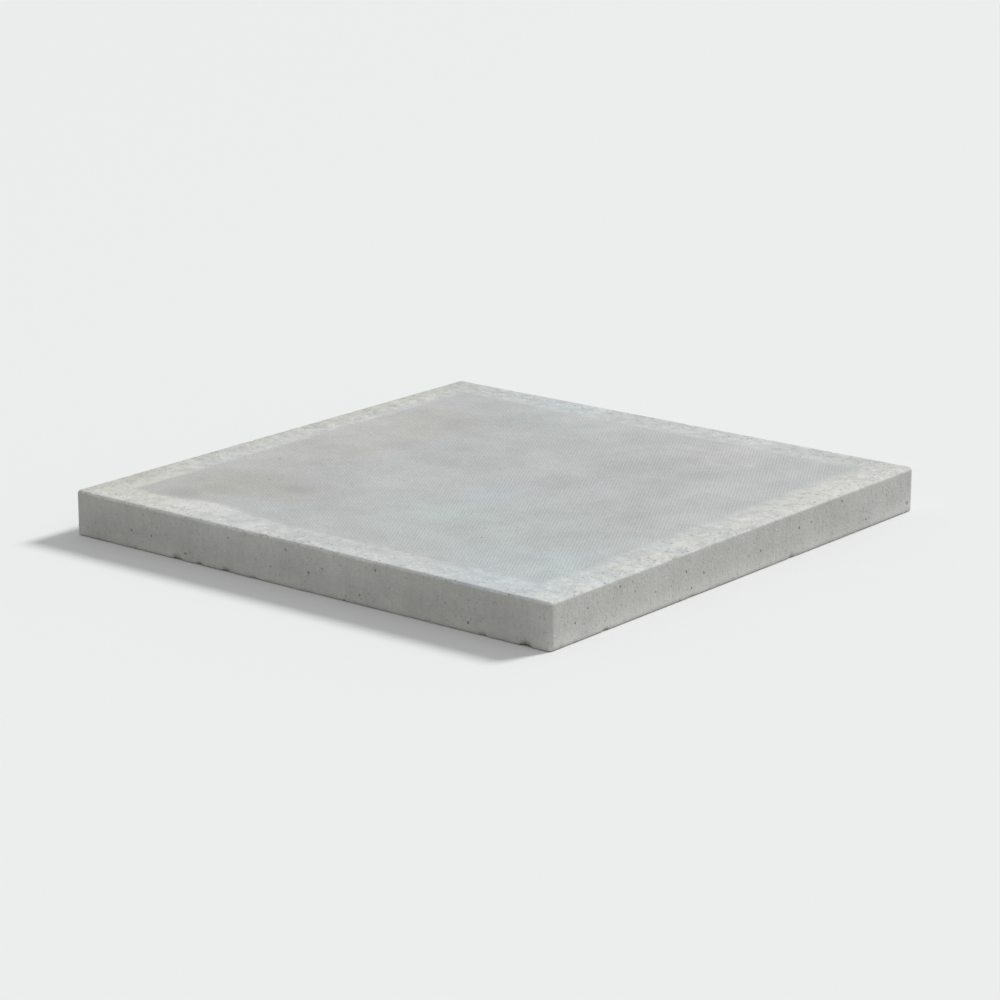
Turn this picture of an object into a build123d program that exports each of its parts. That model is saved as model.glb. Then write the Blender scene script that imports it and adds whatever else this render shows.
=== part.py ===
from build123d import *
import os

# Square concrete paving slab, pressed in one piece: a flat bed face, square upright sides,
# and a walking face whose textured field stands a little proud of a smooth margin.
# Millimetres, +Z up. The origin is the middle of the bed face, so the slab lies on z = 0.

# Overall size, along X and Y between the sides, and from the bed face to the top of the field
slab_length = 450.0
slab_width = 450.0
slab_thickness = 35.0

# Edges: the upright corners, the rounded arris round the walking face,
# and the broken edge round the bed face
corner_radius = 4.0
arris_radius = 2.5
bed_chamfer = 1.0

# Walking face: the smooth margin, from the slab's side to the foot of the field,
# and the field's rise, its corner radius and the slope of its edge in degrees from upright
margin_width = 30.0
field_rise = 0.5
field_corner_radius = 3.0
field_edge_slope = 45.0

# The margin is the level that the sides run up to, and the field is cast on top of it
margin_level = slab_thickness - field_rise
field_length = slab_length - 2 * margin_width
field_width = slab_width - 2 * margin_width

os.makedirs("parts", exist_ok=True)

with BuildPart() as slab:
    # Body, from the bed face up to the margin
    with BuildSketch(Plane.XY) as outline:
        RectangleRounded(slab_length, slab_width, corner_radius)
    extrude(amount=margin_level)

    # Edges of its two large faces
    margin_face = slab.faces().sort_by(Axis.Z)[-1]
    fillet(margin_face.edges(), radius=arris_radius)
    bed_face = slab.faces().sort_by(Axis.Z)[0]
    chamfer(bed_face.edges(), length=bed_chamfer)

    # Textured field, as the block that the tips of its fine relief fill
    with BuildSketch(Plane.XY.offset(margin_level)) as field:
        RectangleRounded(field_length, field_width, field_corner_radius)
    extrude(amount=field_rise, taper=field_edge_slope)

slab.part.label = "slab"
export_step(slab.part, "parts/slab.step")
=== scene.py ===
import math
import random

import bmesh
import bpy
from bpy.props import FloatProperty, FloatVectorProperty, IntProperty, PointerProperty
from mathutils import Matrix, Vector, noise


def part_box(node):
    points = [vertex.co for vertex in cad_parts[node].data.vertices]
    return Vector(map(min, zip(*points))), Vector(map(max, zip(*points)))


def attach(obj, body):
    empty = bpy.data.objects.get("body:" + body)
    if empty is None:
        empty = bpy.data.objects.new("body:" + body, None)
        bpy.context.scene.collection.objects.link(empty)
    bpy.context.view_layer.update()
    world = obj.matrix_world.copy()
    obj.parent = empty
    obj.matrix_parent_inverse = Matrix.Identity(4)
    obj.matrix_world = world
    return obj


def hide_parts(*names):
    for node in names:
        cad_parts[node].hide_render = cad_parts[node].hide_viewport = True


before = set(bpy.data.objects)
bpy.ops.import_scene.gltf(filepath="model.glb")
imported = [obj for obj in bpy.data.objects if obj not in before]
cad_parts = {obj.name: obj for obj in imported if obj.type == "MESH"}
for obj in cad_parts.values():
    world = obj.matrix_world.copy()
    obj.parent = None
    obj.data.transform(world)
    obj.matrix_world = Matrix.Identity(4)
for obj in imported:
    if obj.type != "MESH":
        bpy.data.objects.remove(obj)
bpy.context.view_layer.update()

bl_info = {
    "name": "Pressed Concrete Paving Slab",
    "version": (1, 0, 0),
    "blender": (4, 5, 0),
    "location": "View3D > Sidebar > Paving Slab",
    "description": "Casts a square paving slab with a textured field and sets it on a studio floor",
    "category": "Object",
}

MM = 0.001
SLAB_LOW, SLAB_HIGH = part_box("slab")
SLAB_SIZE = SLAB_HIGH - SLAB_LOW

# Widths of the waves and lumps that the mesh itself has
WAVE = 70 * MM
RIPPLE = 9 * MM
FINE_WAVE = 3.2 * MM
CRUST_PATCH = 17 * MM
CRUST_CRUMB = 4.2 * MM
WORN_PATCH = 45 * MM
PIP_CHANGE = 1.7 * MM
CHIP_EDGE = 1.5 * MM


def shade(red, green, blue):
    """Linear colour with alpha from display values of 0 to 255."""
    linear = []
    for level in (red, green, blue):
        share = level / 255
        linear.append(share / 12.92 if share <= 0.04045 else ((share + 0.055) / 1.055) ** 2.4)
    return (*linear, 1.0)


def length_of(name, description, default):
    return FloatProperty(
        name=name, description=description, default=default, min=0.0, precision=5, unit="LENGTH"
    )


def angle_of(name, description, degrees):
    return FloatProperty(
        name=name, description=description, default=math.radians(degrees), subtype="ANGLE"
    )


def colour_of(name, description, default):
    return FloatVectorProperty(
        name=name, description=description, default=default, size=4, min=0.0, max=1.0, subtype="COLOR"
    )


def share_of(name, description, default):
    return FloatProperty(
        name=name, description=description, default=default, min=0.0, max=1.0, subtype="FACTOR"
    )


class SlabShape(bpy.types.PropertyGroup):
    """Sizes of the slab and of its relief"""

    length: length_of("Length", "Side along X", SLAB_SIZE.x)
    width: length_of("Width", "Side along Y", SLAB_SIZE.y)
    thickness: length_of("Thickness", "Bed face to the tips of the field's pips", SLAB_SIZE.z)
    corner_radius: length_of("Corner Radius", "Rounding of the upright corners", 4 * MM)
    arris_radius: length_of("Arris Radius", "Rounding of the edge round the walking face", 2.5 * MM)
    bed_chamfer: length_of("Bed Chamfer", "Broken edge round the bed face", 1 * MM)
    margin_width: length_of("Margin Width", "Smooth margin between the side and the field", 30 * MM)
    field_rise: length_of("Field Rise", "Pip tips above the margin", 0.5 * MM)
    field_radius: length_of("Field Radius", "Rounding of the field's corners", 3 * MM)
    foot_width: length_of("Foot Width", "Slope between the margin and the field's hollows", 2.4 * MM)
    pip_height: length_of("Pip Height", "Pip tips above the hollows between them", 0.3 * MM)
    pip_pitch: length_of("Pip Pitch", "Distance between neighbouring pips", 2.79 * MM)
    unevenness: length_of("Unevenness", "Depth of the shallow waves of the pressed faces", 0.12 * MM)
    wear: length_of("Arris Wear", "Depth to which the arris is rubbed", 0.35 * MM)
    crust: length_of("Crust", "Height of joint sand and cement stuck to the margin", 0.26 * MM)
    seed: IntProperty(name="Seed", description="Layout of the small chips", default=7, min=0)


class SlabFinish(bpy.types.PropertyGroup):
    """Colours of the concrete and of what lies on it, with painted shade in the air holes and painted
    shadow near one corner, and how much of each shows
    """

    field: colour_of("Field", "Textured field", shade(189, 190, 191))
    margin: colour_of("Margin", "Smooth margin and arris", shade(196, 199, 199))
    side: colour_of("Side", "Sides that the mould leaves", shade(184, 184, 181))
    bed: colour_of("Bed", "Underside", shade(176, 174, 168))
    green: colour_of("Green Tint", "Cool green drifts", shade(184, 194, 191))
    cyan: colour_of("Cyan Tint", "Paler blue-green near one corner", shade(190, 199, 200))
    blue: colour_of("Blue Tint", "Faint blue streak", shade(183, 191, 198))
    pale: colour_of("Pale Patch", "Lighter cement bloom", shade(206, 206, 205))
    # Olive smudges, and also painted shadow on the margin near the -X, +Y corner
    olive_and_painted_shadow: colour_of("Olive Smudge", "Dull yellowish smudges", shade(173, 174, 163))
    buff: colour_of("Buff Tint", "Faint warm tint near one side", shade(196, 191, 182))
    lime: colour_of("Lime", "Whitish lime bloom", shade(228, 229, 227))
    frost: colour_of("Frost", "Pale bluish bloom on the margin", shade(198, 208, 213))
    cream: colour_of("Cream", "Pale yellowish bloom on the margin", shade(215, 214, 201))
    bloom: colour_of("Bloom", "Pale blotches on the margin", shade(222, 223, 219))
    bare: colour_of("Bare Patch", "Dull blotches on the margin", shade(166, 166, 159))
    sand: colour_of("Sand", "Jointing and bedding sand stuck to the slab", shade(217, 217, 211))
    pale_grain: colour_of("Pale Grain", "Pale coarse grains near the rim", shade(236, 236, 231))
    dark_grain: colour_of("Dark Grain", "Dark coarse grains near the rim", shade(142, 141, 134))
    brown_grain: colour_of("Brown Grain", "Dark coarse grains everywhere", shade(138, 134, 127))
    pale_grit: colour_of("Pale Grit", "Pale specks under 1 mm", shade(228, 227, 222))
    dark_grit: colour_of("Dark Grit", "Dark specks under 1 mm", shade(118, 116, 110))
    # Painted shade inside the air holes
    hollow: colour_of("Air Hole", "Inside of air holes", shade(98, 96, 91))
    fracture: colour_of("Fracture", "Inside of small chips", shade(158, 155, 148))
    grime: colour_of("Grime", "Dark dirt in hollows and along the foot", shade(126, 124, 117))
    stains: FloatProperty(name="Stains", description="Strength of all drifts", default=1.0, min=0.0)
    mottling: share_of("Mottling", "How far the tone wanders up and down", 0.08)
    sand_cover: share_of("Sand Cover", "Joint sand over the crust of the margin", 0.62)
    edge_wear: share_of("Edge Wear", "Paler concrete along the rim", 0.3)
    grain_cover: share_of("Grain Cover", "Pale coarse grains near the rim", 0.75)
    speckle: share_of("Speckle", "Dark coarse grains near the rim", 0.65)
    dust: share_of("Dust", "Yellowish dust along the -X side", 0.7)
    foot_dirt: share_of("Foot Dirt", "Dark line along the foot of the field", 0.22)
    grit_cover: share_of("Grit Cover", "Specks under 1 mm", 0.22)
    # Strength of the painted shade in the air holes
    hole_painted_shade: share_of("Hole Darkness", "Darkness of the air holes", 0.72)


# Drifts of colour on the walking face: centre and radii in mm, colour and strength
DRIFTS = (
    ((95, -105), (175, 120), "green", 0.55),
    ((20, -90), (75, 55), "green", 0.25),
    ((-82, 165), (78, 62), "green", 0.5),
    ((-60, 190), (70, 40), "pale", 0.4),
    ((165, -165), (75, 65), "cyan", 0.6),
    ((25, -40), (28, 50), "blue", 0.35),
    ((90, 165), (80, 45), "pale", 0.4),
    ((180, 60), (60, 150), "pale", 0.2),
    ((-38, 108), (34, 24), "grime", 0.06),
    ((-128, -126), (78, 46), "olive_and_painted_shadow", 0.55),
    ((-165, -175), (70, 45), "olive_and_painted_shadow", 0.35),
    ((-143, 96), (52, 56), "olive_and_painted_shadow", 0.25),
    ((-170, 10), (75, 190), "buff", 0.22),
    ((-70, 212), (190, 26), "green", 0.5),
    ((-114, -200), (48, 17), "lime", 0.85),
    ((-157, -179), (22, 17), "grime", 0.2),
    ((-98, -120), (22, 15), "grime", 0.18),
    ((-140, -157), (23, 16), "grime", 0.13),
    ((19, -180), (28, 20), "grime", 0.1),
    ((182, -179), (18, 18), "grime", 0.09),
)

# Drifts of colour on the margin alone, in the same form
MARGIN_DRIFTS = (
    ((-205, -205), (110, 110), "cream", 0.45),
    ((-213, -178), (22, 45), "cream", 0.4),
    ((216, 120), (30, 130), "cream", 0.3),
    ((205, -215), (110, 110), "frost", 0.55),
    ((150, -214), (70, 20), "frost", 0.35),
    ((-95, 212), (85, 30), "frost", 0.35),
    ((-52, -212), (40, 20), "lime", 0.25),
    ((75, 212), (36, 20), "lime", 0.3),
    ((-213, -45), (20, 80), "lime", 0.15),
    ((185, 212), (45, 30), "olive_and_painted_shadow", 0.25),
    ((-25, 212), (36, 20), "olive_and_painted_shadow", 0.12),
    # The next two olive drifts darken the margin near the -X, +Y corner: painted shadow, drawn as a
    # dull smudge
    ((-180, 212), (40, 25), "olive_and_painted_shadow", 0.15),
    ((-213, 165), (20, 60), "olive_and_painted_shadow", 0.18),
    ((-25, -212), (36, 18), "olive_and_painted_shadow", 0.12),
)


class StudioSetting(bpy.types.PropertyGroup):
    """Camera, key light and floor"""

    azimuth: angle_of("Azimuth", "Camera round the slab, 0 looks along +Y", 39.0)
    elevation: angle_of("Elevation", "Camera above the floor", 15.6)
    distance: length_of("Distance", "Camera to the middle of the slab", 2.52)
    lens: FloatProperty(
        name="Lens", description="Focal length in mm", default=120.0, min=1.0, unit="CAMERA"
    )
    key_azimuth: angle_of("Key Azimuth", "Direction the key light comes from, 0 is +Y", 19.0)
    key_elevation: angle_of("Key Elevation", "Key light above the floor", 38.0)
    key_spread: angle_of("Key Spread", "Width of the key light, which softens its shadow", 14.0)
    key_share: share_of("Key Share", "Key light's part of the light on the top", 0.5)
    floor: colour_of("Floor", "Studio floor, and what the camera sees past it", shade(236, 237, 237))
    floor_gap: length_of("Floor Gap", "Floor below the bed face", 0.1 * MM)


# Casting of the slab's mesh

# How far the points along a side are moved towards its ends, where the corners need them
CORNER_PULL = 0.25


def spread(share, pull):
    """Moves a point of a side, from -1 to 1, towards the nearer end."""
    return share * (1 + pull * (1 - share * share))


def place_on_outline(across, along, half_length, half_width, radius):
    """Point of a rounded rectangle for a point of the unit square."""
    x = across * half_length
    y = along * half_width
    over_x = abs(x) - (half_length - radius)
    over_y = abs(y) - (half_width - radius)
    if over_x > 0 and over_y > 0:
        kept = min(1.0, radius / math.hypot(over_x, over_y))
        x -= math.copysign(over_x * (1 - kept), x)
        y -= math.copysign(over_y * (1 - kept), y)
    return x, y


class RingCaster:
    """Grows the slab ring by ring from the border of its bed face."""

    def __init__(self, bm, shape):
        self.bm = bm
        self.shape = shape
        for name in ("across", "along"):
            bm.verts.layers.float.new(name)
        self.across = bm.verts.layers.float["across"]
        self.along = bm.verts.layers.float["along"]
        self.border = []

    def mark(self, verts):
        """Notes where each point of the unit square is."""
        for vert in verts:
            vert[self.across] = vert.co.x
            vert[self.along] = vert.co.y

    def place(self, verts, inset, level, radius, pull=CORNER_PULL):
        """Puts marked points on the outline this far in from the sides, at this level."""
        half_length = self.shape.length / 2 - inset
        half_width = self.shape.width / 2 - inset
        for vert in verts:
            across = spread(vert[self.across], pull)
            along = spread(vert[self.along], pull)
            vert.co = (*place_on_outline(across, along, half_length, half_width, radius), level)

    def border_verts(self):
        """Points of the border, each once, in the order of its edges."""
        return list(dict.fromkeys(vert for edge in self.border for vert in edge.verts))

    def grow(self, inset, level, radius, pull=CORNER_PULL):
        """Adds one ring of faces that ends there."""
        grown = bmesh.ops.extrude_edge_only(self.bm, edges=self.border)["geom"]
        edges = [item for item in grown if isinstance(item, bmesh.types.BMEdge)]
        self.border = [edge for edge in edges if edge.is_boundary]
        self.place(self.border_verts(), inset, level, radius, pull)

    def clear_marks(self):
        """Drops the marks, which the finished mesh doesn't need."""
        layers = self.bm.verts.layers.float
        for name in ("across", "along"):
            layers.remove(layers[name])


def pip_grid(shape):
    """Columns and rows of cells in the field: two columns to a pitch, a row to each row of pips."""
    length = shape.length - 2 * (shape.margin_width + shape.foot_width)
    width = shape.width - 2 * (shape.margin_width + shape.foot_width)
    row_pitch = shape.pip_pitch * math.sin(math.radians(60))
    columns = 4 * round(length / shape.pip_pitch / 2)
    rows = 2 * round(width / row_pitch / 2)
    return columns, rows


def cast_body(bm, ring, shape, columns, rows):
    """Bed face, broken edge, sides, arris and margin, up to the foot of the field."""
    side_rings = 14
    arris_rings = 5
    margin_rings = 12

    # The bed needs only half of the field's columns, but its border has all of the field's points
    bmesh.ops.create_grid(bm, x_segments=columns // 2, y_segments=rows, size=1.0)
    long_sides = [
        edge for edge in bm.edges if edge.is_boundary and edge.verts[0].co.y == edge.verts[1].co.y
    ]
    bmesh.ops.subdivide_edges(bm, edges=long_sides, cuts=1)
    ring.mark(bm.verts)
    ring.border = [edge for edge in bm.edges if edge.is_boundary]
    corner = shape.corner_radius
    chamfer = shape.bed_chamfer
    ring.place(bm.verts, chamfer, 0.0, corner - chamfer)
    ring.grow(chamfer / 2, chamfer / 2, corner - chamfer / 2)

    margin_level = shape.thickness - shape.field_rise
    side_top = margin_level - shape.arris_radius
    for step in range(side_rings + 1):
        ring.grow(0.0, chamfer + (side_top - chamfer) * step / side_rings, corner)
    for step in range(1, arris_rings + 1):
        turn = math.radians(90 * step / arris_rings)
        inset = shape.arris_radius * (1 - math.cos(turn))
        ring.grow(inset, side_top + shape.arris_radius * math.sin(turn), corner - inset)

    flat = shape.margin_width - shape.arris_radius
    top_corner = corner - shape.arris_radius
    for step in range(1, margin_rings + 1):
        share = step / margin_rings
        radius = top_corner + (shape.field_radius - top_corner) * share
        ring.grow(shape.arris_radius + flat * share, margin_level, radius, CORNER_PULL * (1 - share))


def cast_field(bm, ring, shape, columns, rows):
    """Field with a pip on every other crossing, joined to the foot that the margin ends at."""
    inset = shape.margin_width + shape.foot_width
    level = shape.thickness - shape.pip_height
    ring.grow(inset, level, shape.field_radius, 0.0)
    grid = bmesh.ops.create_grid(bm, x_segments=columns, y_segments=rows, size=1.0)["verts"]
    ring.mark(grid)
    pips = []
    for vert in grid:
        column = round((vert.co.x + 1) * columns / 2)
        row = round((vert.co.y + 1) * rows / 2)
        if (column + row) % 2 == 0 and not vert.is_boundary:
            pips.append(vert)
    edge_verts = [vert for vert in grid if vert.is_boundary]
    ring.place(grid, inset, level, shape.field_radius, 0.0)
    cut_facets(bm, grid, pips)
    bmesh.ops.remove_doubles(bm, verts=[*edge_verts, *ring.border_verts()], dist=0.01 * MM)
    return pips


def cut_facets(bm, grid, pips):
    """Splits the cells so that every pip has four facets with a crease between hollows."""
    tips = set(pips)
    cells = {"ALTERNATE": [], "FIXED": [], "BEAUTY": []}
    for cell in dict.fromkeys(face for vert in grid for face in vert.link_faces):
        if cell.verts[0] in tips or cell.verts[2] in tips:
            cells["ALTERNATE"].append(cell)
        elif cell.verts[1] in tips or cell.verts[3] in tips:
            cells["FIXED"].append(cell)
        else:
            cells["BEAUTY"].append(cell)
    for method, faces in cells.items():
        bmesh.ops.triangulate(bm, faces=faces, quad_method=method)


# Relief and wear of the mesh


def positive_noise(point, size, shift=0.0):
    """Noise of waves of this size, from 0 to 1."""
    signed = noise.noise(point / size + Vector((shift, 2 * shift, -shift)))
    return min(1.0, max(0.0, 0.5 + 0.5 * signed))


def fine_wave(point):
    """Finest unevenness of the concrete, from 0 to 1."""
    return positive_noise(point, FINE_WAVE, shift=11)


def eased(value, low, high):
    """Smooth step from 0 at low to 1 at high."""
    share = min(1.0, max(0.0, (value - low) / (high - low)))
    return share * share * (3 - 2 * share)


def raise_pips(pips, shape):
    """Lifts the pips, less where feet have worn them and towards the foot of the field."""
    half_length = shape.length / 2 - shape.margin_width
    half_width = shape.width / 2 - shape.margin_width
    lowest_share = 0.35
    full_height_from = 9 * MM
    for vert in pips:
        inside = min(half_length - abs(vert.co.x), half_width - abs(vert.co.y))
        faded = min(1.0, lowest_share + inside / full_height_from)
        worn = positive_noise(vert.co, WORN_PATCH)
        single = positive_noise(vert.co, PIP_CHANGE)
        vert.co.z += shape.pip_height * faded * (0.98 - 0.22 * worn - 0.16 * single)


def chips_round(shape):
    """Small bites out of the arris and the bed edge: centre, reach and depth of each."""
    draw = random.Random(shape.seed)
    half = Vector((shape.length / 2, shape.width / 2, 0))
    top = shape.thickness - shape.field_rise
    chips = []
    for count, level, least, most in ((16, top, 1.8 * MM, 4.2 * MM), (13, 0.0, 2.5 * MM, 6.5 * MM)):
        for _ in range(count):
            place = draw.uniform(-1, 1)
            side = draw.choice((-1, 1))
            along_x = draw.random() < 0.5
            spot = (place * half.x, side * half.y) if along_x else (side * half.x, place * half.y)
            reach = draw.uniform(least, most)
            chips.append((Vector((*spot, level)), reach, reach * draw.uniform(0.18, 0.3)))
    return chips


def bite_of(point, chips):
    """How deep the chips cut into the slab at a point."""
    deepest = 0.0
    for centre, reach, depth in chips:
        apart = (point - centre).length
        if apart < reach:
            ragged = 0.8 + 0.4 * noise.noise(point / CHIP_EDGE)
            deepest = max(deepest, depth * (1 - (apart / reach) ** 2) * ragged)
    return deepest


def crust_on(point, shape):
    """Share of the full crust at a point of the margin: thick on +X, patchy on -X, thin elsewhere."""
    from_end = shape.length / 2 - abs(point.x)
    from_side = shape.width / 2 - abs(point.y)
    far = eased(point.y, -120 * MM, 120 * MM)
    if point.x > 0:
        at_end = 0.5 + 0.14 * far
    else:
        at_end = 0.3 + 0.26 * far * (1 - eased(point.y, 160 * MM, 210 * MM))
    near_end = at_end * (1 - eased(from_end, 0.4 * shape.margin_width, 1.35 * shape.margin_width))
    near_side = 0.3 * (1 - eased(from_side, 0.2 * shape.margin_width, 0.9 * shape.margin_width))
    patch = positive_noise(point, CRUST_PATCH, shift=5) - 0.5
    crumb = positive_noise(point, CRUST_CRUMB, shift=17) - 0.5
    share = max(near_end, near_side) + 0.65 * patch + 0.75 * crumb
    return eased(share, 0.34, 0.62) * eased(min(from_end, from_side), 1.2 * MM, 4 * MM)


def sinking(point, normal, rim, on_top, shape):
    """How deep a point of pressed and laid concrete has sunk, and the outward direction there."""
    wave = positive_noise(point, WAVE)
    ripple = positive_noise(point, RIPPLE, shift=3)
    fine = fine_wave(point)
    arris_level = shape.thickness - shape.field_rise - 1.05 * shape.arris_radius
    if on_top:
        return shape.unevenness * (0.55 * wave + 0.3 * ripple + 0.2 * fine), Vector((0, 0, 1))
    if point.z < 0.05 * MM and rim > 1.5 * shape.bed_chamfer:
        hollow = 1.2 * max(0.0, ripple - 0.45) + max(0.0, fine - 0.6)
        return 3.5 * shape.unevenness * hollow, Vector((0, 0, -1))
    if point.z > arris_level:
        return shape.wear * (0.35 * wave + 0.4 * ripple + 0.5 * max(0.0, fine - 0.35)), normal
    return shape.unevenness * (0.4 * wave + 0.9 * ripple + 0.9 * fine), normal


def weather(bm, pips, shape):
    """Sinks each point by unevenness, rubbing and chips, and raises the crust on the margin."""
    chips = chips_round(shape)
    chips_within = 10 * MM
    fully_broken = 0.5 * MM
    crust = bm.verts.layers.float["crust"]
    broken = bm.verts.layers.float["broken"]
    tips = set(pips)
    bm.normal_update()
    moves = []
    for vert in bm.verts:
        point = vert.co
        rim = min(shape.length / 2 - abs(point.x), shape.width / 2 - abs(point.y))
        on_top = vert.normal.z > 0.8 or vert in tips
        depth, outward = sinking(point, vert.normal, rim, on_top, shape)
        if on_top and rim < shape.margin_width:
            vert[crust] = crust_on(point, shape)
            depth -= shape.crust * vert[crust] * (0.6 + 0.4 * fine_wave(point))
        if rim < chips_within:
            bite = bite_of(point, chips)
            vert[broken] = min(1.0, bite / fully_broken)
            depth += bite
        moves.append((vert, point - outward * depth))
    for vert, place in moves:
        vert.co = place


def lay_map(bm, shape):
    """Unwraps the slab: the top largest, the four sides as strips above it, the bed beside them."""
    layer = bm.loops.layers.uv.new("OFBake")
    gap = 0.006
    top = 0.73
    turned_to = 0.3
    strip = top * shape.thickness / shape.length
    bed_left = top + 2 * gap
    for face in bm.faces:
        normal = face.normal
        on_end = abs(normal.x) > abs(normal.y)
        for loop in face.loops:
            point = loop.vert.co
            across = point.x / shape.length + 0.5
            along = point.y / shape.width + 0.5
            up = point.z / shape.thickness
            if normal.z > turned_to:
                place = (gap + across * top, gap + along * top)
            elif normal.z < -turned_to:
                place = (bed_left + across * (1 - gap - bed_left), gap + along * (1 - 2 * gap))
            else:
                row = (2 if on_end else 0) + ((normal.x if on_end else normal.y) > 0)
                low = top + 2 * gap + row * (strip + gap)
                place = (gap + (along if on_end else across) * top, low + up * strip)
            loop[layer].uv = place


def put_in_order(bm):
    """Sorts the faces by their points, because extrusions add them in an order of their own."""
    bm.verts.index_update()
    ranked = sorted(bm.faces, key=lambda face: sorted(vert.index for vert in face.verts))
    for rank, face in enumerate(ranked):
        face.index = rank
    bm.faces.sort()


def cast_slab(shape):
    """Closed mesh of the whole slab: bed, sides, arris, margin and field."""
    bm = bmesh.new()
    for name in ("crust", "broken"):
        bm.verts.layers.float.new(name)
    ring = RingCaster(bm, shape)
    columns, rows = pip_grid(shape)
    cast_body(bm, ring, shape, columns, rows)
    pips = cast_field(bm, ring, shape, columns, rows)
    raise_pips(pips, shape)
    bmesh.ops.recalc_face_normals(bm, faces=bm.faces)
    weather(bm, pips, shape)
    bm.normal_update()
    lay_map(bm, shape)
    for face in bm.faces:
        face.smooth = True
    for vert in pips:
        for face in vert.link_faces:
            face.smooth = False
    ring.clear_marks()
    put_in_order(bm)
    mesh = bpy.data.meshes.new("paving_slab")
    bm.to_mesh(mesh)
    bm.free()
    return mesh


# Laying of shader nodes

# Numbers of the Mix node's sockets that carry colours
COLOUR_A = 6
COLOUR_B = 7
MIXED_COLOUR = 2


class NodeDesk:
    """Lays nodes in one tree and wires them. An input takes a value or another node's output."""

    def __init__(self, tree):
        self.tree = tree

    def feed(self, socket, value):
        if isinstance(value, bpy.types.NodeSocket):
            self.tree.links.new(value, socket)
        else:
            socket.default_value = value

    def add(self, kind, settings=None, inputs=None):
        """New node, with its settings and with its inputs by name or number."""
        node = self.tree.nodes.new(kind)
        for name, value in (settings or {}).items():
            setattr(node, name, value)
        for name, value in (inputs or {}).items():
            self.feed(node.inputs[name], value)
        return node

    def group(self, tree, inputs):
        return self.add("ShaderNodeGroup", {"node_tree": tree}, inputs).outputs

    def reckon(self, operation, first, second=0.0):
        node = self.add("ShaderNodeMath", {"operation": operation}, {0: first, 1: second})
        return node.outputs["Value"]

    def plus(self, first, second):
        return self.reckon("ADD", first, second)

    def minus(self, first, second):
        return self.reckon("SUBTRACT", first, second)

    def times(self, *factors):
        """Product of two or more factors, from left to right."""
        product = factors[0]
        for factor in factors[1:]:
            product = self.reckon("MULTIPLY", product, factor)
        return product

    def fade(self, value, low, high, start=0.0, end=1.0):
        """Smooth step of a value from low to high."""
        node = self.add(
            "ShaderNodeMapRange",
            {"interpolation_type": "SMOOTHSTEP"},
            {"Value": value, "From Min": low, "From Max": high, "To Min": start, "To Max": end},
        )
        return node.outputs["Result"]

    def reckon_vectors(self, operation, first, second):
        node = self.add("ShaderNodeVectorMath", {"operation": operation}, {0: first, 1: second})
        return node.outputs["Vector"]

    def stretched(self, vector, factor):
        node = self.add("ShaderNodeVectorMath", {"operation": "SCALE"}, {0: vector, "Scale": factor})
        return node.outputs["Vector"]

    def in_units(self, vector, size):
        """Vector in units of a size in metres."""
        return self.stretched(vector, self.reckon("DIVIDE", 1.0, size))

    def noise(self, place, size, detail=3.0, roughness=0.55, distortion=0.0, dimensions="3D"):
        """Outputs of a noise of waves of this size."""
        node = self.add(
            "ShaderNodeTexNoise",
            {"noise_dimensions": dimensions},
            {
                "Vector": self.in_units(place, size),
                "Scale": 1.0,
                "Detail": detail,
                "Roughness": roughness,
                "Distortion": distortion,
            },
        )
        return node.outputs

    def pushed_about(self, place, size, reach):
        """Place pushed about by waves of this size, for ragged outlines of what is drawn there."""
        push = self.noise(place, size, 1.0, 0.6, dimensions="2D")["Color"]
        centred = self.reckon_vectors("SUBTRACT", push, (0.5, 0.5, 0.5))
        return self.reckon_vectors("ADD", place, self.stretched(centred, reach))

    def scatter(self, place, spacing):
        """Distance to the nearest of scattered points, in spacings, and three random draws of it."""
        node = self.add(
            "ShaderNodeTexVoronoi",
            {"voronoi_dimensions": "2D", "feature": "F1"},
            {"Vector": self.in_units(place, spacing), "Scale": 1.0},
        )
        draws = self.add("ShaderNodeSeparateColor", inputs={"Color": node.outputs["Color"]}).outputs
        return node.outputs["Distance"], draws

    def blend(self, share, first, second, mode="MIX"):
        """Colour mixed from the first towards the second."""
        node = self.add(
            "ShaderNodeMix",
            {"data_type": "RGBA", "blend_type": mode, "clamp_factor": True},
            {"Factor": share, COLOUR_A: first, COLOUR_B: second},
        )
        return node.outputs[MIXED_COLOUR]

    def coated(self, colour, coats):
        """Colour under thin coats, each a share and a colour, laid in order."""
        for share, coat in coats:
            colour = self.blend(share, colour, coat)
        return colour


VECTOR, NUMBER = "NodeSocketVector", "NodeSocketFloat"


def open_group(name, inputs, outputs):
    """New shader group with named sockets: its desk, its inputs and the sockets of its end node."""
    tree = bpy.data.node_groups.new(name, "ShaderNodeTree")
    for socket_name, kind, default in inputs:
        socket = tree.interface.new_socket(name=socket_name, in_out="INPUT", socket_type=kind)
        if default is not None:
            socket.default_value = default
    for socket_name in outputs:
        tree.interface.new_socket(name=socket_name, in_out="OUTPUT", socket_type=NUMBER)
    start = tree.nodes.new("NodeGroupInput")
    end = tree.nodes.new("NodeGroupOutput")
    return NodeDesk(tree), start.outputs, end.inputs


def coarse_grain_group():
    """Scattered coarse grains: pale ones, dark ones and the relief of all."""
    desk, given, result = open_group(
        "Coarse Grain",
        [("Vector", VECTOR, None), ("Grain Size", NUMBER, 2.6 * MM)],
        ["Pale", "Dark", "Relief"],
    )
    distance, draws = desk.scatter(given["Vector"], given["Grain Size"])
    reach = desk.fade(draws["Blue"], 0.0, 1.0, 0.22, 0.62)
    body = desk.fade(desk.reckon("DIVIDE", distance, reach), 0.35, 1.0, 1.0, 0.0)
    desk.feed(result["Pale"], desk.times(desk.fade(draws["Red"], 0.7, 0.95), body))
    desk.feed(result["Dark"], desk.times(desk.fade(draws["Green"], 0.74, 0.97), body))
    desk.feed(result["Relief"], desk.times(draws["Blue"], body))
    return desk.tree


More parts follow.
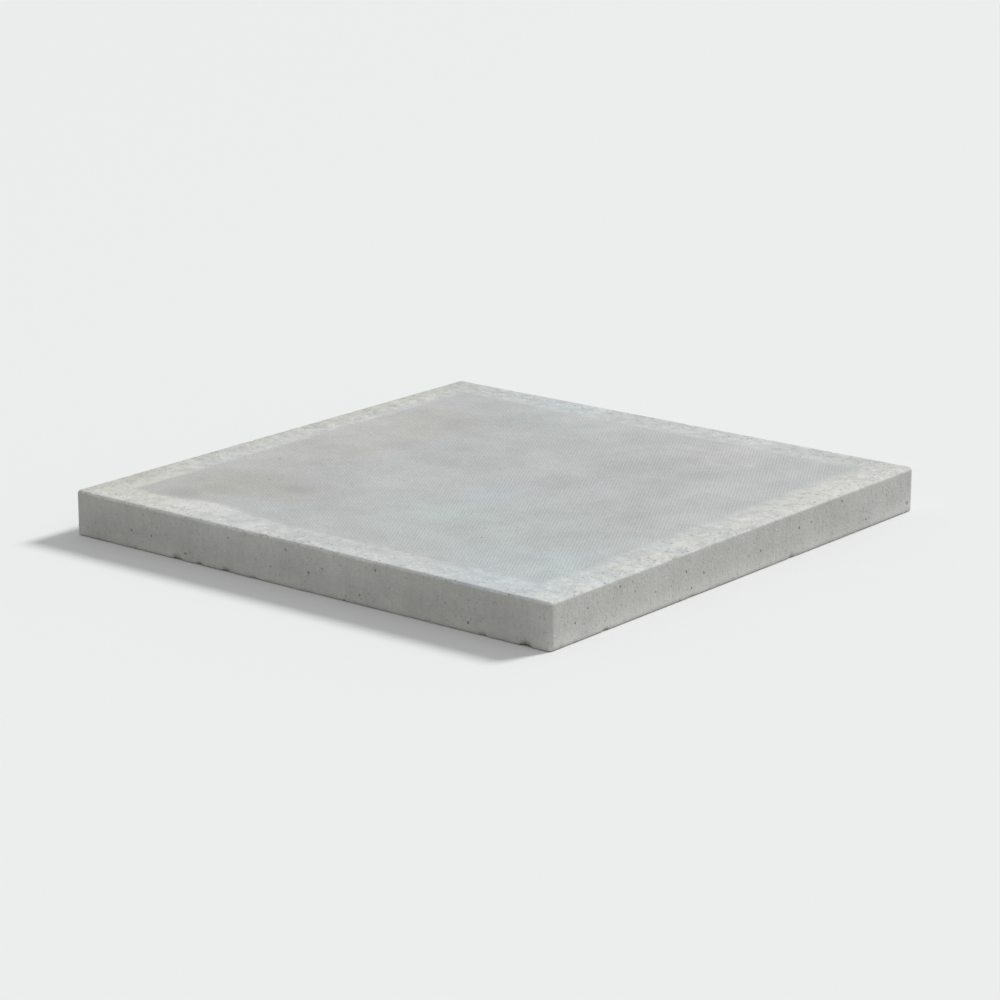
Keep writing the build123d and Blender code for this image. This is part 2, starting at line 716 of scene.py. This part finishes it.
def pinholes_group():
    """Scattered air holes, few of them large, 1 in each hole."""
    desk, given, result = open_group(
        "Pinholes",
        [
            ("Vector", VECTOR, None),
            ("Spacing", NUMBER, 10 * MM),
            ("Hole Width", NUMBER, 1.5 * MM),
            ("Share", NUMBER, 0.4),
        ],
        ["Hole"],
    )
    distance, draws = desk.scatter(given["Vector"], given["Spacing"])
    largest = desk.reckon("DIVIDE", given["Hole Width"], desk.times(given["Spacing"], 2.0))
    few_large = desk.reckon("POWER", draws["Green"], 2.5)
    reach = desk.times(largest, desk.fade(few_large, 0.0, 1.0, 0.3, 1.0))
    hole = desk.fade(desk.reckon("DIVIDE", distance, reach), 0.35, 1.0, 1.0, 0.0)
    present = desk.reckon("LESS_THAN", draws["Red"], given["Share"])
    desk.feed(result["Hole"], desk.times(hole, present))
    return desk.tree


def drift_group():
    """One soft ragged patch round a centre."""
    desk, given, result = open_group(
        "Drift",
        [
            ("Vector", VECTOR, None),
            ("Centre", VECTOR, (0, 0, 0)),
            ("Radii", VECTOR, (0.05, 0.05, 0.05)),
            ("Warp", NUMBER, 0.5),
            ("Raggedness", NUMBER, 1.1),
        ],
        ["Drift"],
    )
    away = desk.reckon_vectors("SUBTRACT", given["Vector"], given["Centre"])
    drawn = desk.reckon_vectors("DIVIDE", away, given["Radii"])
    reach = desk.add("ShaderNodeVectorMath", {"operation": "LENGTH"}, {0: drawn}).outputs["Value"]
    shift = desk.times(desk.minus(given["Warp"], 0.5), given["Raggedness"])
    desk.feed(result["Drift"], desk.fade(desk.plus(reach, shift), 0.3, 1.05, 1.0, 0.0))
    return desk.tree


def foot_line_group():
    """Broken line of dirt along the foot of the field."""
    desk, given, result = open_group(
        "Foot Line",
        [
            ("Vector", VECTOR, None),
            ("Inset", NUMBER, 0.0),
            ("Foot Inset", NUMBER, 30 * MM),
            ("Line Width", NUMBER, 1.8 * MM),
        ],
        ["Dirt"],
    )
    speckle = desk.noise(given["Vector"], 4 * MM, 3.0, 0.6)["Fac"]
    run = desk.noise(given["Vector"], 50 * MM, 1.0, 0.5)["Fac"]
    away = desk.reckon("ABSOLUTE", desk.minus(given["Inset"], given["Foot Inset"]))
    line = desk.fade(desk.reckon("DIVIDE", away, given["Line Width"]), 0.2, 1.0, 1.0, 0.0)
    broken = desk.times(desk.fade(speckle, 0.47, 0.66), desk.fade(run, 0.35, 0.62))
    desk.feed(result["Dirt"], desk.times(line, broken))
    return desk.tree


# Concrete


class SlabSurface:
    """Places, noises, zones and grains on the slab that its finishes share, laid on one desk."""

    def __init__(self, desk, shape):
        self.desk = desk
        self.shape = shape
        self.find_places()
        self.lay_noises()
        self.mark_zones()
        self.scatter_grains()

    def find_places(self):
        """Where a point is: along the axes, in from the sides, and how far it faces up."""
        desk = self.desk
        self.place = desk.add("ShaderNodeTexCoord").outputs["Object"]
        self.axes = desk.add("ShaderNodeSeparateXYZ", inputs={"Vector": self.place}).outputs
        self.level = self.axes["Z"]
        facing = desk.add("ShaderNodeNewGeometry").outputs["Normal"]
        self.up = desk.add("ShaderNodeSeparateXYZ", inputs={"Vector": facing}).outputs["Z"]
        self.from_end = desk.minus(self.shape.length / 2, desk.reckon("ABSOLUTE", self.axes["X"]))
        self.from_side = desk.minus(self.shape.width / 2, desk.reckon("ABSOLUTE", self.axes["Y"]))
        self.inset = desk.reckon("MINIMUM", self.from_end, self.from_side)

    def laid_flat(self):
        """Place on the slab laid out flat, where each side goes on from the top's edge."""
        desk = self.desk
        at_end = desk.reckon("LESS_THAN", self.from_end, self.from_side)
        at_side = desk.minus(1.0, at_end)
        drop = desk.minus(self.shape.thickness, self.level)
        past_end = desk.times(drop, at_end, desk.reckon("SIGN", self.axes["X"]))
        past_side = desk.times(drop, at_side, desk.reckon("SIGN", self.axes["Y"]))
        across = desk.plus(self.axes["X"], past_end)
        along = desk.plus(self.axes["Y"], past_side)
        return desk.add("ShaderNodeCombineXYZ", inputs={"X": across, "Y": along}).outputs["Vector"]

    def lay_noises(self):
        """Mottle down to 1 mm, ragged outlines, blotches, clouds, grit, drag marks, crust and chips."""
        desk = self.desk
        place = self.place
        self.mottle = desk.noise(place, 40 * MM, 7.0, 0.72)["Fac"]
        elsewhere = desk.reckon_vectors("ADD", place, (0.5, 0.2, 0.1))
        self.warp = desk.noise(elsewhere, 60 * MM, 5.0, 0.62)["Fac"]
        blotches = desk.noise(place, 9 * MM, 4.0, 0.62)["Fac"]
        self.clump = desk.fade(blotches, 0.46, 0.62)
        self.bare = desk.fade(blotches, 0.35, 0.48, 1.0, 0.0)
        far_off = desk.reckon_vectors("ADD", place, (0.31, -0.31, 0.62))
        clouds = desk.noise(far_off, 140 * MM, distortion=0.5)["Fac"]
        self.broad = desk.fade(clouds, 0.32, 0.68)
        self.grit = desk.noise(place, 0.9 * MM, 1.0, 0.6)["Fac"]
        upright = desk.add("ShaderNodeMapping", inputs={"Vector": place, "Scale": (1.0, 1.0, 0.12)})
        self.drags = desk.noise(upright.outputs["Vector"], 3.5 * MM, 2.0, 0.6)["Fac"]
        self.stuck = desk.add("ShaderNodeAttribute", {"attribute_name": "crust"}).outputs["Fac"]
        self.chipped = desk.add("ShaderNodeAttribute", {"attribute_name": "broken"}).outputs["Fac"]

    def mark_zones(self):
        """Top, bed, margin, foot line and pip tips, with borders that wander on the top."""
        desk = self.desk
        shape = self.shape
        margin_level = shape.thickness - shape.field_rise
        hollow_level = shape.thickness - shape.pip_height
        low_end = -shape.length / 2
        wander = 14 * MM
        arris_end = margin_level - 0.4 * shape.arris_radius
        self.foot = shape.margin_width + shape.foot_width / 2
        self.on_top = desk.fade(self.level, margin_level - shape.arris_radius, arris_end)
        self.off_top = desk.minus(1.0, self.on_top)
        self.on_bed = desk.fade(self.up, -0.75, -0.4, 1.0, 0.0)
        self.on_tip = desk.fade(self.level, hollow_level, shape.thickness - 0.08 * MM)
        self.strayed = desk.plus(self.inset, desk.times(desk.minus(self.mottle, 0.5), wander))
        self.on_margin = desk.fade(self.strayed, self.foot - 3 * MM, self.foot + 4 * MM, 1.0, 0.0)
        self.near_rim = desk.fade(self.strayed, 8 * MM, 38 * MM, 1.0, 0.0)
        self.at_low_end = desk.fade(
            self.axes["X"], low_end + 10 * MM, low_end + shape.margin_width, 1.0, 0.0
        )

    def top_and_rest(self, on_top, on_rest):
        """One value on the walking face and another on the rest of the slab."""
        return self.desk.fade(self.off_top, 0.0, 1.0, on_top, on_rest)

    def scatter_grains(self):
        """Coarse grains and air holes with ragged outlines."""
        desk = self.desk
        ragged = desk.pushed_about(self.laid_flat(), 1.7 * MM, 2.4 * MM)
        self.coarse = desk.group(coarse_grain_group(), {"Vector": ragged, "Grain Size": 2.6 * MM})
        self.hole = desk.group(
            pinholes_group(),
            {
                "Vector": ragged,
                "Spacing": 7 * MM,
                "Hole Width": self.top_and_rest(1.1 * MM, 2.6 * MM),
                "Share": self.top_and_rest(0.06, 0.2),
            },
        )["Hole"]


def field_and_margin(surface, finish):
    """Field, darker between its pips and paler on them and at its edge, and margin, under clouds."""
    desk = surface.desk
    filled = desk.fade(surface.warp, 0.38, 0.62, 0.02, 0.14)
    return desk.coated(
        finish.field,
        (
            (desk.fade(surface.on_tip, 0.0, 0.5, filled, 0.0), finish.grime),
            (desk.fade(surface.on_tip, 0.5, 1.0, 0.0, 0.25), finish.margin),
            (desk.fade(surface.strayed, 30 * MM, 80 * MM, 0.3, 0.0), finish.margin),
            (surface.on_margin, finish.margin),
            (desk.times(surface.broad, 0.12), finish.pale),
        ),
    )


def drift_coats(surface, finish):
    """Drifts of colour, those over all weaker on the margin."""
    desk = surface.desk
    drift = drift_group()
    lively = desk.fade(surface.mottle, 0.35, 0.65, 0.7, 1.15)
    over_all = desk.times(desk.fade(surface.on_margin, 0.0, 1.0, 1.0, 0.55), finish.stains, lively)
    over_margin = desk.times(surface.on_margin, finish.stains, lively)
    for drifts, held in ((DRIFTS, over_all), (MARGIN_DRIFTS, over_margin)):
        for (x, y), (reach_x, reach_y), colour_name, strength in drifts:
            mask = desk.group(
                drift,
                {
                    "Vector": surface.place,
                    "Centre": (x * MM, y * MM, surface.shape.thickness),
                    "Radii": (reach_x * MM, reach_y * MM, 1.0),
                    "Warp": surface.warp,
                },
            )["Drift"]
            yield desk.times(mask, held, strength), getattr(finish, colour_name)


def margin_coats(surface, finish):
    """Worn rim, joint sand, blotches, crumbs and dust on the margin, and dirt along the foot."""
    desk = surface.desk
    rubbed = desk.fade(surface.inset, 3 * MM, 15 * MM, 1.0, 0.0)
    worn = desk.times(rubbed, desk.fade(surface.mottle, 0.35, 0.6))
    ragged = desk.times(desk.minus(desk.plus(surface.warp, surface.clump), 1.0), 0.6)
    thick = desk.fade(desk.plus(surface.stuck, ragged), 0.1, 0.75)
    crusted = desk.times(thick, desk.fade(surface.stuck, 0.0, 0.1))
    patchy = desk.times(surface.on_margin, desk.fade(surface.at_low_end, 0.0, 1.0, 0.3, 0.6))
    dirt = desk.group(
        foot_line_group(),
        {"Vector": surface.place, "Inset": surface.strayed, "Foot Inset": surface.foot},
    )["Dirt"]
    return (
        (desk.times(worn, finish.edge_wear), finish.pale),
        (desk.fade(surface.from_end, 16 * MM, 36 * MM, 0.16, 0.0), finish.sand),
        (desk.times(crusted, finish.sand_cover), finish.sand),
        (desk.times(patchy, surface.clump), finish.bloom),
        (desk.times(patchy, surface.bare, 0.7), finish.bare),
        (desk.times(surface.near_rim, surface.coarse["Pale"], finish.grain_cover), finish.pale_grain),
        (desk.times(surface.near_rim, surface.coarse["Dark"], finish.speckle), finish.dark_grain),
        (desk.times(surface.near_rim, surface.at_low_end, surface.warp, finish.dust), finish.olive_and_painted_shadow),
        (desk.times(dirt, finish.foot_dirt), finish.grime),
    )


def face_colour(surface, finish):
    """Walking face: field and margin, the drifts over them, and what lies on the margin."""
    desk = surface.desk
    face = desk.coated(field_and_margin(surface, finish), drift_coats(surface, finish))
    return desk.coated(face, margin_coats(surface, finish))


def side_colour(surface, finish):
    """Sides: upright drag marks of the mould, joint dirt above and bed sand below."""
    desk = surface.desk
    thickness = surface.shape.thickness
    high = desk.fade(surface.level, 0.5 * thickness, 0.85 * thickness)
    low = desk.fade(surface.level, 0.08 * thickness, 0.45 * thickness, 1.0, 0.0)
    return desk.coated(
        finish.side,
        (
            (desk.fade(surface.drags, 0.35, 0.75, 0.0, 0.1), finish.grime),
            (desk.times(surface.broad, 0.14), finish.grime),
            (desk.times(high, surface.warp, 0.28), finish.olive_and_painted_shadow),
            (desk.times(low, surface.mottle, 0.5), finish.sand),
        ),
    )


def bed_colour(surface, finish):
    """Bed face: grimy and pale clouds, and patches of bedding sand."""
    desk = surface.desk
    clumped = desk.fade(surface.clump, 0.0, 1.0, 0.5, 1.0)
    bedded = desk.times(desk.fade(surface.warp, 0.5, 0.62), clumped)
    return desk.coated(
        finish.bed,
        (
            (desk.times(surface.warp, 0.25), finish.grime),
            (desk.times(surface.broad, 0.3), finish.pale),
            (desk.times(bedded, 0.4), finish.sand),
        ),
    )


def grained(surface, finish, colour):
    """Colour with mottle, grit, coarse grains, air holes darkened by painted shade, and chips, which
    lie on every face.
    """
    desk = surface.desk
    tone = desk.fade(surface.mottle, 0.25, 0.75, 1 - finish.mottling, 1 + finish.mottling)
    tint = desk.add("ShaderNodeCombineColor", inputs={"Red": tone, "Green": tone, "Blue": tone})
    toned = desk.blend(1.0, colour, tint.outputs["Color"], "MULTIPLY")
    return desk.coated(
        toned,
        (
            (desk.fade(surface.grit, 0.56, 0.74, 0.0, finish.grit_cover), finish.pale_grit),
            (desk.fade(surface.grit, 0.27, 0.44, finish.grit_cover, 0.0), finish.dark_grit),
            (desk.times(surface.coarse["Pale"], surface.top_and_rest(0.12, 0.2)), finish.sand),
            (desk.times(surface.coarse["Dark"], surface.top_and_rest(0.12, 0.35)), finish.brown_grain),
            # Painted shade darkens the inside of each air hole
            (desk.times(surface.hole, finish.hole_painted_shade), finish.hollow),
            (desk.times(surface.chipped, 0.6), finish.fracture),
        ),
    )


def fine_relief(surface):
    """Height of what is finer than the mesh: grit, grains, drag marks, crumbs and air holes."""
    desk = surface.desk
    open_grain = desk.plus(surface.top_and_rest(0.15, 0.28), desk.times(surface.chipped, 0.8))
    crumbs = desk.times(surface.clump, desk.fade(surface.stuck, 0.0, 0.6, 0.06, 0.3))
    height = desk.times(surface.grit, 0.2)
    height = desk.plus(height, desk.times(surface.coarse["Relief"], open_grain))
    height = desk.plus(height, desk.times(surface.drags, surface.off_top, 0.25))
    height = desk.plus(height, crumbs)
    return desk.minus(height, desk.times(surface.hole, 1.4))


def concrete_material(shape, finish):
    """Pressed concrete: one material whose zones follow the slab's own levels and sides."""
    material = bpy.data.materials.new("slab_concrete")
    material.use_nodes = True
    material.node_tree.nodes.clear()
    desk = NodeDesk(material.node_tree)
    surface = SlabSurface(desk, shape)
    colour = desk.blend(surface.on_top, side_colour(surface, finish), face_colour(surface, finish))
    colour = desk.blend(surface.on_bed, colour, bed_colour(surface, finish))
    bump = desk.add(
        "ShaderNodeBump",
        inputs={"Strength": 1.0, "Distance": 0.5 * MM, "Height": fine_relief(surface)},
    )
    shader = desk.add(
        "ShaderNodeBsdfPrincipled",
        inputs={
            "Base Color": grained(surface, finish, colour),
            "Roughness": desk.fade(surface.mottle, 0.3, 0.7, 0.86, 0.96),
            "Specular IOR Level": 0.25,
            "Normal": bump.outputs["Normal"],
        },
    )
    desk.add("ShaderNodeOutputMaterial", inputs={"Surface": shader.outputs["BSDF"]})
    return material


# Stage


def direction(azimuth, elevation, ahead):
    """Unit vector raised by the elevation and turned from ahead, which is 1 for +Y or -1 for -Y."""
    level = math.cos(elevation)
    return Vector(
        (math.sin(azimuth) * level, ahead * math.cos(azimuth) * level, math.sin(elevation))
    )


def lay_floor(context, setting):
    """Plain pale floor under the slab."""
    half_size = 30.0
    mesh = bpy.data.meshes.new("studio_floor")
    bm = bmesh.new()
    below = Matrix.Translation((0, 0, -setting.floor_gap))
    bmesh.ops.create_grid(bm, x_segments=1, y_segments=1, size=half_size, matrix=below)
    bm.to_mesh(mesh)
    bm.free()
    material = bpy.data.materials.new("studio_floor")
    material.use_nodes = True
    shader = material.node_tree.nodes["Principled BSDF"]
    shader.inputs["Base Color"].default_value = setting.floor
    shader.inputs["Roughness"].default_value = 0.9
    shader.inputs["Specular IOR Level"].default_value = 0.1
    mesh.materials.append(material)
    floor = bpy.data.objects.new("studio_floor", mesh)
    context.collection.objects.link(floor)


def light_surroundings(context, setting):
    """Even white light from all round, where the camera itself sees the floor's colour."""
    world = bpy.data.worlds.new("studio")
    world.use_nodes = True
    world.node_tree.nodes.clear()
    desk = NodeDesk(world.node_tree)
    seen_directly = desk.add("ShaderNodeLightPath").outputs["Is Camera Ray"]
    white = {"Color": (1, 1, 1, 1), "Strength": 1 - setting.key_share}
    backdrop = {"Color": setting.floor, "Strength": 1.0}
    fill = desk.add("ShaderNodeBackground", inputs=white).outputs["Background"]
    seen = desk.add("ShaderNodeBackground", inputs=backdrop).outputs["Background"]
    mixed = desk.add("ShaderNodeMixShader", inputs={"Fac": seen_directly, 1: fill, 2: seen})
    desk.add("ShaderNodeOutputWorld", inputs={"Surface": mixed.outputs["Shader"]})
    context.scene.world = world


def hang_key_light(context, setting):
    """One soft key light, which with the surroundings lights the top as white light of 1 would."""
    distance = 3.0
    key = bpy.data.lights.new("key_light", "SUN")
    key.energy = math.pi * setting.key_share / math.sin(setting.key_elevation)
    key.angle = setting.key_spread
    lamp = bpy.data.objects.new("key_light", key)
    towards = direction(setting.key_azimuth, setting.key_elevation, 1)
    lamp.rotation_euler = towards.to_track_quat("Z", "Y").to_euler()
    lamp.location = towards * distance
    context.collection.objects.link(lamp)


def set_camera(context, setting):
    """Camera at the angle and distance that the slab is seen from."""
    camera = bpy.data.cameras.new("camera")
    camera.lens = setting.lens
    view = bpy.data.objects.new("camera", camera)
    back = direction(setting.azimuth, setting.elevation, -1)
    middle = (SLAB_LOW + SLAB_HIGH) / 2
    view.location = middle + back * setting.distance
    view.rotation_euler = back.to_track_quat("Z", "Y").to_euler()
    context.collection.objects.link(view)
    context.scene.camera = view


# Operators and panel


class PAVING_OT_cast_slab(bpy.types.Operator):
    """Cast the slab with its textured field, margin, arrises, sides and bed face"""

    bl_idname = "paving.cast_slab"
    bl_label = "Cast Paving Slab"

    def execute(self, context):
        shape = context.scene.slab_shape
        mesh = cast_slab(shape)
        mesh.materials.append(concrete_material(shape, context.scene.slab_finish))
        slab = bpy.data.objects.new("paving_slab", mesh)
        context.collection.objects.link(slab)
        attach(slab, "root")
        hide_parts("slab")
        return {"FINISHED"}


class PAVING_OT_set_stage(bpy.types.Operator):
    """Lay the floor and set the lights and the camera"""

    bl_idname = "paving.set_stage"
    bl_label = "Set Stage"

    def execute(self, context):
        setting = context.scene.paving_studio
        lay_floor(context, setting)
        light_surroundings(context, setting)
        hang_key_light(context, setting)
        set_camera(context, setting)
        context.scene.view_settings.view_transform = "Standard"
        return {"FINISHED"}


class PAVING_PT_slab(bpy.types.Panel):
    """Sizes, colours and steps of the paving slab"""

    bl_label = "Paving Slab"
    bl_space_type = "VIEW_3D"
    bl_region_type = "UI"
    bl_category = "Paving Slab"

    def draw(self, context):
        layout = self.layout
        scene = context.scene
        for settings in (scene.slab_shape, scene.slab_finish, scene.paving_studio):
            box = layout.box()
            for name in settings.__annotations__:
                box.prop(settings, name)
        layout.operator(PAVING_OT_cast_slab.bl_idname)
        layout.operator(PAVING_OT_set_stage.bl_idname)


CLASSES = (
    SlabShape,
    SlabFinish,
    StudioSetting,
    PAVING_OT_cast_slab,
    PAVING_OT_set_stage,
    PAVING_PT_slab,
)


def register():
    for cls in CLASSES:
        bpy.utils.register_class(cls)
    bpy.types.Scene.slab_shape = PointerProperty(type=SlabShape)
    bpy.types.Scene.slab_finish = PointerProperty(type=SlabFinish)
    bpy.types.Scene.paving_studio = PointerProperty(type=StudioSetting)


def unregister():
    del bpy.types.Scene.paving_studio
    del bpy.types.Scene.slab_finish
    del bpy.types.Scene.slab_shape
    for cls in reversed(CLASSES):
        bpy.utils.unregister_class(cls)


def main():
    register()
    bpy.ops.paving.set_stage()
    bpy.ops.paving.cast_slab()


if __name__ == "__main__":
    main()
